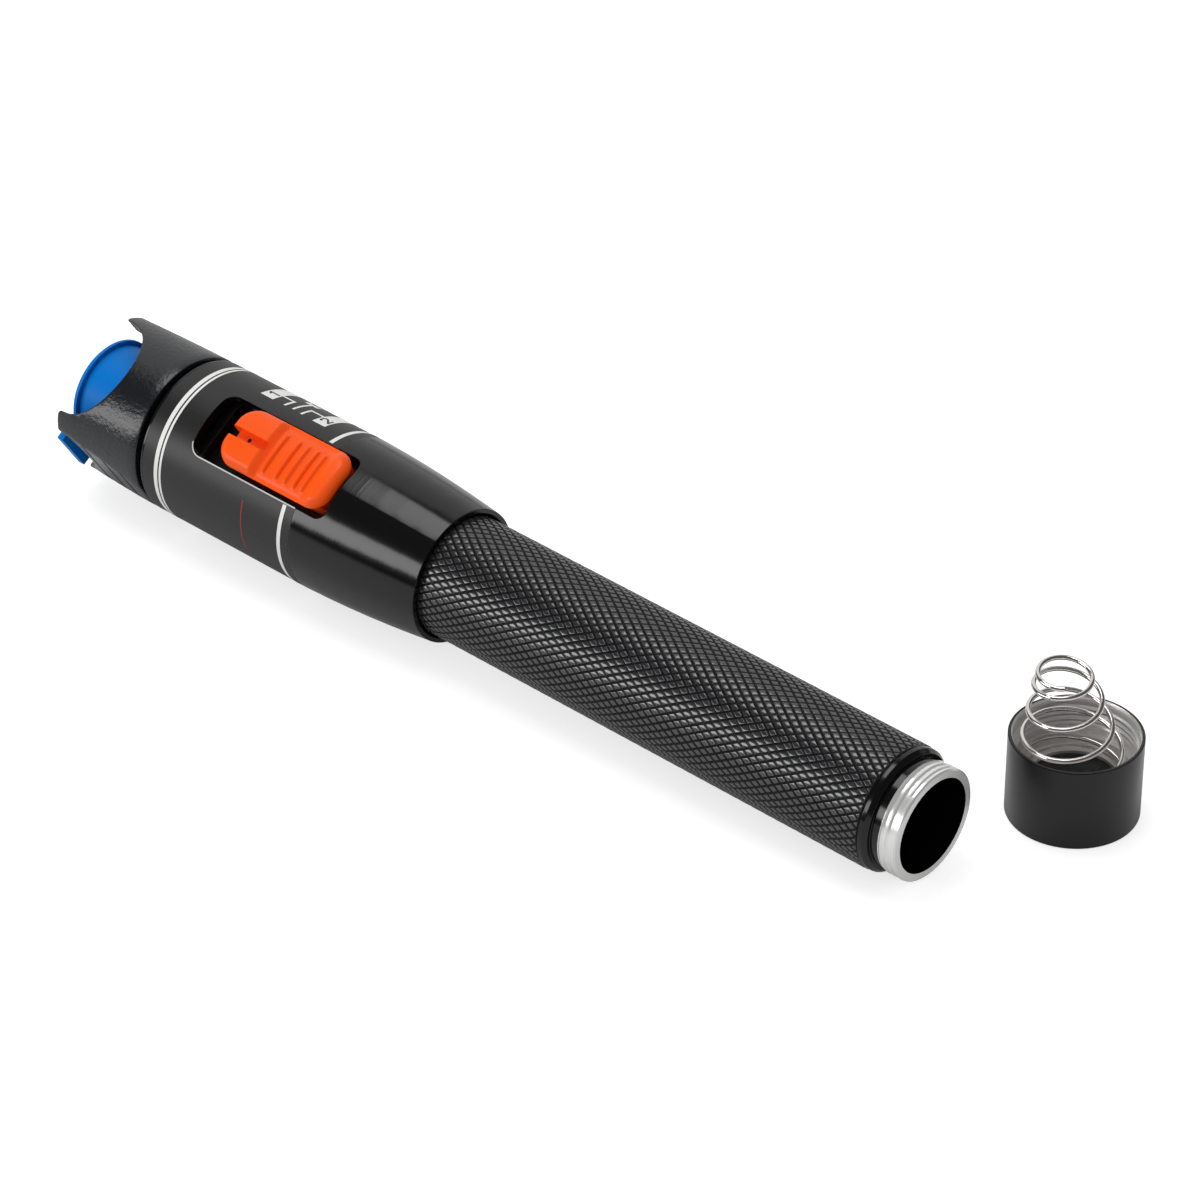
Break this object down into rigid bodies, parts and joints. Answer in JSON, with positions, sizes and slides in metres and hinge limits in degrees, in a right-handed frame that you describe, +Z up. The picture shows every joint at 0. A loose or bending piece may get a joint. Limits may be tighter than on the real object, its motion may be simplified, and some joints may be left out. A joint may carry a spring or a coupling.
{
  "type": "visual fault locator",
  "caption": "Pen-shaped light source for tracing breaks in optical fibre: knurled battery tube, sliding switch, hinged dust cap on a ferrule port, and a tail cap taken off.",
  "frame": {"origin": "middle of the floor under the pen and its tail cap", "axes": "+Z up, +X towards the pen's tail, -Y towards the side the switch leans to"},
  "size_m": [0.1852, 0.0506, 0.0275],
  "materials": {
    "anodised_black": "black anodised aluminium, satin, with a diamond knurl",
    "label_film": "black film with white and red lines",
    "bezel_black": "glossy black paint, slightly orange-peeled",
    "orange_plastic": "satin orange moulding",
    "black_plastic": "black moulding",
    "bright_metal": "tinned steel",
    "board_green": "green solder mask",
    "brass": "brass",
    "bare_aluminium": "turned aluminium",
    "ceramic_white": "white zirconia ceramic",
    "lens_glass": "clear glass",
    "blue_plastic": "satin blue moulding",
    "spring_steel": "bright steel wire"
  },
  "bodies": {
    "pen": {"battery_tube": "anodised_black", "housing": "anodised_black", "label_wrap": "label_film", "bezel": "bezel_black", "guide_tray": "black_plastic", "slide_switch": "bright_metal", "circuit_board": "board_green", "driver_chip": "black_plastic", "capacitors": "bright_metal", "contact_carrier": "black_plastic", "front_contact": "brass", "port_plate": "bare_aluminium", "port_barrel": "bright_metal", "ceramic_sleeve": "ceramic_white", "port_nut": "bright_metal", "laser_holder": "brass", "collimating_lens": "lens_glass", "laser_diode": "bright_metal", "cap_seat": "blue_plastic", "hinge_pin": "bright_metal"},
    "slider": {"switch_knob": "orange_plastic", "knob_carriage": "black_plastic", "switch_lever": "black_plastic"},
    "lid": {"dust_cap": "blue_plastic"},
    "tail_cap": {"tail_cap": "anodised_black", "tail_spring": "spring_steel"}
  },
  "joints": [
    {"name": "knob_slide", "type": "slide", "parent": "pen", "child": "slider", "axis": [-0.9996, 0, 0.0273], "range_m": [0, 0.004]},
    {"name": "lid_hinge", "type": "hinge", "parent": "pen", "child": "lid", "pos_m": [-0.0906, -0.00325, 0.0202], "axis": [-0.0231, 0.5373, -0.8431], "range_deg": [0, 130]},
    {"name": "cap_lift", "type": "slide", "parent": "pen", "child": "tail_cap", "axis": [0, 0, 1], "range_m": [0, 0.06]}
  ]
}
